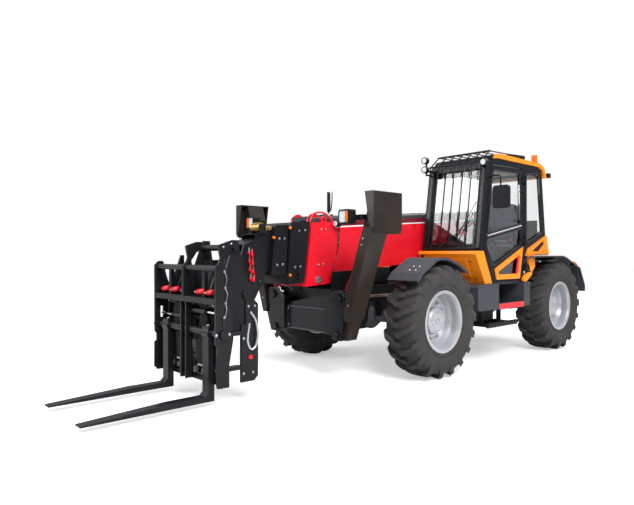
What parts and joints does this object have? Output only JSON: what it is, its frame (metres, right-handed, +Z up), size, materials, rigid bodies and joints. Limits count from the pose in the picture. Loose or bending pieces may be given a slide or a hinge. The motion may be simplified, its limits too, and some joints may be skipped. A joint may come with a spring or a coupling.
{
  "type": "telehandler",
  "caption": "Compact rough-terrain telescopic handler with a four-part boom, pallet forks, front stabilisers, closed cab and large lugged tyres.",
  "frame": {"origin": "on the ground in the centre plane, midway between the fork tips and the tow jaw, under the front axle", "axes": "+X to the machine's left, +Y to its rear, +Z up"},
  "size_m": [2.8003, 6.94, 2.6396],
  "materials": {
    "yellow_paint": "gloss",
    "red_paint": "gloss",
    "grey_paint": "satin",
    "black_paint": "satin",
    "cab_paint": "satin",
    "silver_paint": "satin",
    "chrome_rod": "polished",
    "tyre_rubber": "matte",
    "fender_plastic": "matte",
    "step_plastic": "matte",
    "lamp_housing": "gloss",
    "mirror_housing": "matte",
    "clear_glass": "polished",
    "seat_cloth": "matte",
    "engine_iron": "cast",
    "fork_steel": "satin"
  },
  "bodies": {
    "chassis": {"chassis_rails": "black_paint", "cross_members": "black_paint", "stabiliser_frame": "black_paint", "carrier_arms": "black_paint", "rear_bumper": "black_paint", "axles": "grey_paint", "fenders_rear": "fender_plastic", "cab_shell": "cab_paint", "cab_cladding": "yellow_paint", "cab_glass": "clear_glass", "cab_interior": "step_plastic", "seat": "seat_cloth", "window_guard": "black_paint", "step_box": "step_plastic", "fuel_tank": "step_plastic", "engine": "engine_iron", "engine_tray": "black_paint", "lamps": "lamp_housing", "mirrors": "mirror_housing"},
    "boom": {"boom_outer": "red_paint", "boom_cover": "grey_paint"},
    "boom_section_2": {"boom_section_2": "black_paint"},
    "boom_section_3": {"boom_section_3": "black_paint"},
    "boom_section_4": {"boom_section_4": "black_paint"},
    "lift_barrel": {"lift_barrel": "black_paint"},
    "lift_rod": {"lift_rod": "chrome_rod"},
    "tilt_barrel": {"tilt_barrel": "black_paint"},
    "tilt_rod": {"tilt_rod": "chrome_rod"},
    "carriage": {"quick_hitch": "black_paint", "fork_frame": "black_paint", "forks": "fork_steel"},
    "cab_door": {"door_frame": "cab_paint", "door_glass": "clear_glass", "door_panel": "yellow_paint"},
    "engine_hood": {"engine_hood": "yellow_paint"},
    "knuckle_front_left": {"knuckle_front_left": "grey_paint", "fender_front_left": "fender_plastic"},
    "wheel_front_left": {"rim_front_left": "silver_paint", "tyre_front_left": "tyre_rubber"},
    "knuckle_front_right": {"knuckle_front_right": "grey_paint", "fender_front_right": "fender_plastic"},
    "wheel_front_right": {"rim_front_right": "silver_paint", "tyre_front_right": "tyre_rubber"},
    "knuckle_rear_left": {"knuckle_rear_left": "grey_paint"},
    "wheel_rear_left": {"rim_rear_left": "silver_paint", "tyre_rear_left": "tyre_rubber"},
    "knuckle_rear_right": {"knuckle_rear_right": "grey_paint"},
    "wheel_rear_right": {"rim_rear_right": "silver_paint", "tyre_rear_right": "tyre_rubber"},
    "stabiliser_left": {"stabiliser_arm_left": "black_paint", "headlamps_left": "lamp_housing"},
    "stabiliser_barrel_left": {"stabiliser_barrel_left": "black_paint"},
    "stabiliser_rod_left": {"stabiliser_rod_left": "chrome_rod"},
    "stabiliser_right": {"stabiliser_arm_right": "black_paint", "headlamps_right": "lamp_housing"},
    "stabiliser_barrel_right": {"stabiliser_barrel_right": "black_paint"},
    "stabiliser_rod_right": {"stabiliser_rod_right": "chrome_rod"}
  },
  "joints": [
    {"name": "steer_front_left", "type": "hinge", "parent": "chassis", "child": "knuckle_front_left", "pos_m": [0.8, 0, 0.6], "axis": [0, 0, 1], "range_deg": [-35, 35]},
    {"name": "roll_front_left", "type": "hinge", "parent": "knuckle_front_left", "child": "wheel_front_left", "pos_m": [0.975, 0, 0.6], "axis": [1, 0, 0], "continuous": true},
    {"name": "steer_front_right", "type": "hinge", "parent": "chassis", "child": "knuckle_front_right", "pos_m": [-0.8, 0, 0.6], "axis": [0, 0, 1], "range_deg": [-35, 35]},
    {"name": "roll_front_right", "type": "hinge", "parent": "knuckle_front_right", "child": "wheel_front_right", "pos_m": [-0.975, 0, 0.6], "axis": [1, 0, 0], "continuous": true},
    {"name": "steer_rear_left", "type": "hinge", "parent": "chassis", "child": "knuckle_rear_left", "pos_m": [0.8, 2.7, 0.6], "axis": [0, 0, 1], "range_deg": [-30, 30]},
    {"name": "roll_rear_left", "type": "hinge", "parent": "knuckle_rear_left", "child": "wheel_rear_left", "pos_m": [0.975, 2.7, 0.6], "axis": [1, 0, 0], "continuous": true},
    {"name": "steer_rear_right", "type": "hinge", "parent": "chassis", "child": "knuckle_rear_right", "pos_m": [-0.8, 2.7, 0.6], "axis": [0, 0, 1], "range_deg": [-30, 30]},
    {"name": "roll_rear_right", "type": "hinge", "parent": "knuckle_rear_right", "child": "wheel_rear_right", "pos_m": [-0.975, 2.7, 0.6], "axis": [1, 0, 0], "continuous": true},
    {"name": "boom_lift", "type": "hinge", "parent": "chassis", "child": "boom", "pos_m": [0, 2.95, 1.625], "axis": [-1, 0, 0], "range_deg": [0, 65]},
    {"name": "boom_extend_1", "type": "slide", "parent": "boom", "child": "boom_section_2", "axis": [0, -0.9978, -0.0663], "range_m": [0, 2.55]},
    {"name": "boom_extend_2", "type": "slide", "parent": "boom_section_2", "child": "boom_section_3", "axis": [0, -0.9978, -0.0663], "range_m": [0, 2.55]},
    {"name": "boom_extend_3", "type": "slide", "parent": "boom_section_3", "child": "boom_section_4", "axis": [0, -0.9978, -0.0663], "range_m": [0, 2.55]},
    {"name": "carriage_tilt", "type": "hinge", "parent": "boom_section_4", "child": "carriage", "pos_m": [0, -1.907, 0.929], "axis": [1, 0, 0], "range_deg": [-12, 80]},
    {"name": "lift_barrel_swing", "type": "hinge", "parent": "chassis", "child": "lift_barrel", "pos_m": [0, 2.9, 0.885], "axis": [-1, 0, 0], "range_deg": [0, 56]},
    {"name": "lift_rod_stroke", "type": "slide", "parent": "lift_barrel", "child": "lift_rod", "axis": [0, -0.9849, 0.1732], "range_m": [0, 0.74]},
    {"name": "tilt_barrel_swing", "type": "hinge", "parent": "boom_section_4", "child": "tilt_barrel", "pos_m": [0, -1.25, 1.36], "axis": [1, 0, 0], "range_deg": [-4, 16]},
    {"name": "tilt_rod_stroke", "type": "slide", "parent": "tilt_barrel", "child": "tilt_rod", "axis": [0, -0.9811, -0.1935], "range_m": [-0.06, 0.36]},
    {"name": "stabiliser_left_fold", "type": "hinge", "parent": "chassis", "child": "stabiliser_left", "pos_m": [0.495, -0.8525, 0.486], "axis": [0, 1, 0], "range_deg": [0, 95]},
    {"name": "stabiliser_left_barrel_swing", "type": "hinge", "parent": "stabiliser_left", "child": "stabiliser_barrel_left", "pos_m": [0.96, -0.8625, 1.6], "axis": [0, 1, 0], "range_deg": [-5, 16]},
    {"name": "stabiliser_left_rod_stroke", "type": "slide", "parent": "stabiliser_barrel_left", "child": "stabiliser_rod_left", "axis": [-0.4921, 0, -0.8705], "range_m": [0, 0.55]},
    {"name": "stabiliser_right_fold", "type": "hinge", "parent": "chassis", "child": "stabiliser_right", "pos_m": [-0.495, -0.8525, 0.486], "axis": [0, -1, 0], "range_deg": [0, 95]},
    {"name": "stabiliser_right_barrel_swing", "type": "hinge", "parent": "stabiliser_right", "child": "stabiliser_barrel_right", "pos_m": [-0.96, -0.8625, 1.6], "axis": [0, -1, 0], "range_deg": [-5, 16]},
    {"name": "stabiliser_right_rod_stroke", "type": "slide", "parent": "stabiliser_barrel_right", "child": "stabiliser_rod_right", "axis": [0.4921, 0, -0.8705], "range_m": [0, 0.55]},
    {"name": "cab_door_swing", "type": "hinge", "parent": "chassis", "child": "cab_door", "pos_m": [1.064, 1.872, 1.865], "axis": [0, 0, 1], "range_deg": [0, 80]},
    {"name": "engine_hood_lift", "type": "hinge", "parent": "chassis", "child": "engine_hood", "pos_m": [-0.276, 1.34, 1.655], "axis": [0, 1, 0], "range_deg": [0, 55]}
  ],
  "couplings": [
    {"joint": "steer_front_right", "follows": "steer_front_left", "ratio": 1},
    {"joint": "steer_rear_right", "follows": "steer_rear_left", "ratio": 1},
    {"joint": "boom_extend_2", "follows": "boom_extend_1", "ratio": 1},
    {"joint": "boom_extend_3", "follows": "boom_extend_1", "ratio": 1},
    {"joint": "lift_barrel_swing", "follows": "boom_lift", "ratio": 0.8117},
    {"joint": "lift_rod_stroke", "follows": "boom_lift", "m_per_rad": 0.6305},
    {"joint": "tilt_barrel_swing", "follows": "carriage_tilt", "ratio": 0.165},
    {"joint": "tilt_rod_stroke", "follows": "carriage_tilt", "m_per_rad": 0.2375},
    {"joint": "stabiliser_left_barrel_swing", "follows": "stabiliser_left_fold", "ratio": 0.1198},
    {"joint": "stabiliser_left_rod_stroke", "follows": "stabiliser_left_fold", "m_per_rad": 0.2955},
    {"joint": "stabiliser_right_barrel_swing", "follows": "stabiliser_right_fold", "ratio": 0.1198},
    {"joint": "stabiliser_right_rod_stroke", "follows": "stabiliser_right_fold", "m_per_rad": 0.2955}
  ]
}
